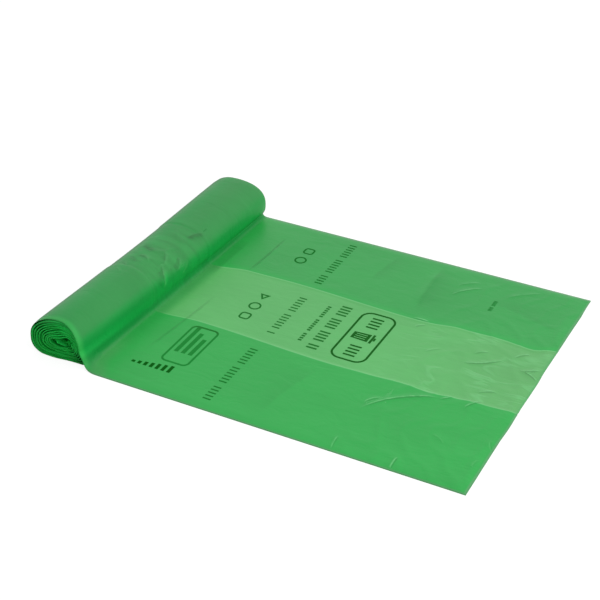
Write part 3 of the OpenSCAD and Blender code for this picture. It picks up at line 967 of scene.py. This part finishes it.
# Look of the wound turns, in millimetres and shares
woundLook = {
    # painted light and shade across each turn's end: deep at its inner face, the edge colour towards its
    # outer one
    "deep": (0.003, 0.34, 0.034),
    "edge": (0.016, 0.66, 0.10),
    "outerFace": (0.45, 0.85),  # share of a turn's thickness, from its inner face
    "outerShows": 0.75,
    "blotchy": {"stretch": (30, 90, 1)},
    "blotches": (0.35, 0.65),
    "blotchesShow": 0.35,
    # painted shade in the corner under the drape: X from the winding centre, and height
    "corner": (0, 24),
    "cornerHeight": (4, 22),
    "cornerDark": 0.55,
    # and painted shade on top of the outer turns: share of the winding, and height
    "outerTurns": (0.02, 0.16),
    "outerHeight": (24, 34),
    "outerDark": 0.42,
    "fine": {"scale": 700, "detail": 3},
    "fineHigh": 0.0002,  # metres
    "bump": 0.4,
    "roughness": 0.5,
    "rougher": 0.2,
    "ior": 1.25,
}


def makeWoundMaterial():
    look = woundLook
    material, graph = newMaterial("wound_film")
    place = graph.place()
    x, z = graph.parts(place)[::2]
    upper, gone = graph.parts(graph.layer("ply"), 2)
    blotchy = graph.noise(graph.layer("film"), **look["blotchy"])
    # Painted light towards each turn's outer face, with random blotches
    paintedLightAndBlotches = upper.band(look["outerFace"]) * look["outerShows"]
    paintedLightAndBlotches = paintedLightAndBlotches + blotchy.between(*look["blotches"]) * look["blotchesShow"]
    colour = graph.blend(paintedLightAndBlotches, look["deep"], look["edge"])
    # Painted shade in the corner under the drape
    corner = x.band(look["corner"], rollX) * (1 - z.band(look["cornerHeight"]))
    # Painted shade on top of the outer turns
    outerTopShade = (1 - gone.band(look["outerTurns"])) * z.band(look["outerHeight"])
    colour = graph.shade(colour, 1 - look["cornerDark"] * corner - look["outerDark"] * outerTopShade)
    normal = graph.bump(graph.noise(place, **look["fine"]) * look["fineHigh"], look["bump"])
    roughness = look["roughness"] + look["rougher"] * blotchy
    finishFilm(graph, colour, roughness, normal, look["ior"])
    return material


# The print, in plain ink: its fields are told apart by their places, in millimetres
ink = {
    "full": (0.008, 0.112, 0.010),
    "worn": (0.016, 0.26, 0.042),
    "wornOnStrip": (0.036, 0.27, 0.055),
    "pastStrip": 6,  # the strip's marks end this far past the far fold
    "near": (-62, -50),  # thinner short of this along Y
    "nearThin": 0.5,
    "frameBefore": -50,  # and more so short of this along X, where the framed note is
    "frameThinner": 0.35,
    "sizeMark": (-60, -120),  # but dark short of this corner, in the size scale
    "sizeTone": (0.0005, 0.1, 0.003),
    "before": (18, 30),  # the rest is thinner short of this along X, or past the next
    "beforeThin": 0.38,
    "after": (110, 120),
    "afterThin": 0.6,
    "specks": {"scale": 900, "detail": 3, "roughness": 0.7, "contrast": (0.48, 0.75)},
    "specksShow": 0.5,
    "patchy": {"scale": 90},
    "roughness": 0.6,
    "rougher": 0.1,
    "ior": 1.12,
}


def makeInkMaterial():
    material, graph = newMaterial("green_ink")
    place = graph.place()
    x, y = graph.parts(place, 2)
    markX, markY = ink["sizeMark"]
    sizeMark = (x < markX * mm) * (y < markY * mm)
    near = 1 - y.band(ink["near"])
    nearThin = near * (1 - sizeMark) * (ink["nearThin"] + ink["frameThinner"] * (x < ink["frameBefore"] * mm))
    beforeThin = (1 - near) * (1 - x.band(ink["before"])) * ink["beforeThin"]
    thin = nearThin + beforeThin + x.band(ink["after"]) * ink["afterThin"]
    patchy = graph.noise(place, **ink["patchy"])
    specks = graph.noise(place, **ink["specks"]) * ink["specksShow"] * patchy
    onStrip = (1 - near) * (y < (foldFar + ink["pastStrip"]) * mm)
    worn = graph.blend(onStrip, ink["worn"], ink["wornOnStrip"])
    colour = graph.blend(thin + specks, graph.blend(sizeMark, ink["full"], ink["sizeTone"]), worn)
    waves = graph.noise(place, **filmRules["waves"])
    normal = graph.bump(waves * filmRules["wavesHigh"], filmRules["bump"])
    roughness = ink["roughness"] + ink["rougher"] * patchy
    finishFilm(graph, colour, roughness, normal, ink["ior"])
    return material


# Studio: a white floor that keeps a faint shadow, a dim sky with brighter sides, and one large soft lamp
studio = {
    "floorSize": 12,
    "floorGrey": 0.86,
    "floorWhite": 1.12,  # strength of the white that the camera sees
    "floorGlow": 0.8,  # and its share in the floor
    "skyLevel": 0.14,
    # the way to each brighter side, and how much it adds
    "glows": (((0.1, 0.78, 0.62), 0.82), ((-0.6, 0.75, 0.3), 0.32), ((0.75, -0.15, 0.65), 0.62)),
    "glowSpread": (0.3, 0.95),  # cosines where it starts and is full
    "lampSize": 0.9,
    "lampPower": 5.4,
    "lampPlace": (0.9, -0.35, 0.9),
    "cameraPlace": (0.5118, -1.0158, 0.7591),
    "cameraAzimuth": 27.54,
    "cameraElevation": 32.67,
    "lens": 85.563,
    "sensor": 36,
}


# 1 for what the camera sees straight, mirrored or through a piece, and 0 for all other light
def seenDirectly(graph):
    kinds = ("Is Camera Ray", "Is Glossy Ray", "Is Transmission Ray")
    camera, glossy, through = (graph.node("ShaderNodeLightPath", {}, {}, kind) for kind in kinds)
    return camera.orMore(glossy).orMore(through)


def makeFloor():
    half = studio["floorSize"] / 2
    corners = np.array([[-half, -half, 0], [half, -half, 0], [half, half, 0], [-half, half, 0]]) / mm
    floor = meshObject("floor", corners, [[0, 1, 2, 3]])
    material, graph = newMaterial("floor_white")
    grey = studio["floorGrey"]
    matte = graph.node("ShaderNodeBsdfDiffuse", {}, {"Color": (grey, grey, grey, 1)})
    white = graph.node("ShaderNodeEmission", {}, {"Color": (1, 1, 1, 1), "Strength": studio["floorWhite"]})
    share = seenDirectly(graph) * studio["floorGlow"]
    finishMaterial(graph, graph.node("ShaderNodeMixShader", {}, {0: share, 1: matte, 2: white}))
    floor.data.materials.append(material)


# The sky is brighter on some sides, and white to the camera.
def makeWorld():
    world = bpy.data.worlds.new("studio")
    world.use_nodes = True
    graph = Graph(world.node_tree)
    direction = graph.node("ShaderNodeTexCoord", {}, {}, "Generated")
    level = studio["skyLevel"]
    for way, adds in studio["glows"]:
        inputs = {0: direction, 1: way}
        towards = graph.node("ShaderNodeVectorMath", {"operation": "DOT_PRODUCT"}, inputs, "Value")
        level = level + towards.between(*studio["glowSpread"]) * adds
    seen = seenDirectly(graph)
    level = level * (1 - seen) + seen
    sky = graph.node("ShaderNodeBackground", {}, {"Color": (1, 1, 1, 1), "Strength": level})
    graph.node("ShaderNodeOutputWorld", {}, {"Surface": sky})
    bpy.context.scene.world = world


def makeLampAndCamera():
    lamp = bpy.data.lights.new("soft_lamp", "AREA")
    lamp.shape = "DISK"
    lamp.size = studio["lampSize"]
    lamp.energy = studio["lampPower"]
    holder = bpy.data.objects.new("soft_lamp", lamp)
    holder.location = studio["lampPlace"]
    holder.rotation_euler = Vector(studio["lampPlace"]).to_track_quat("Z", "Y").to_euler()
    camera = bpy.data.cameras.new("camera")
    camera.lens = studio["lens"]
    camera.sensor_width = studio["sensor"]
    view = bpy.data.objects.new("camera", camera)
    view.location = studio["cameraPlace"]
    tilt = math.radians(90 - studio["cameraElevation"])
    view.rotation_euler = (tilt, 0, math.radians(studio["cameraAzimuth"]))
    for thing in (holder, view):
        bpy.context.scene.collection.objects.link(thing)
    bpy.context.scene.camera = view


makeFloor()
makeWorld()
makeLampAndCamera()
print("studio ready")

film, along = makeLeadingBag()
film.data.materials.append(makeSheetMaterial(along))
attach(film, "root")
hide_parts("leading_bag")

turnsPiece = makeWoundBags()
turnsPiece.data.materials.append(makeWoundMaterial())
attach(turnsPiece, "root")
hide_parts("wound_bags")

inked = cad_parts["print"]
inked.data.materials.clear()
inked.data.materials.append(makeInkMaterial())
print("pieces ready")

bpy.context.scene.view_settings.view_transform = "Standard"
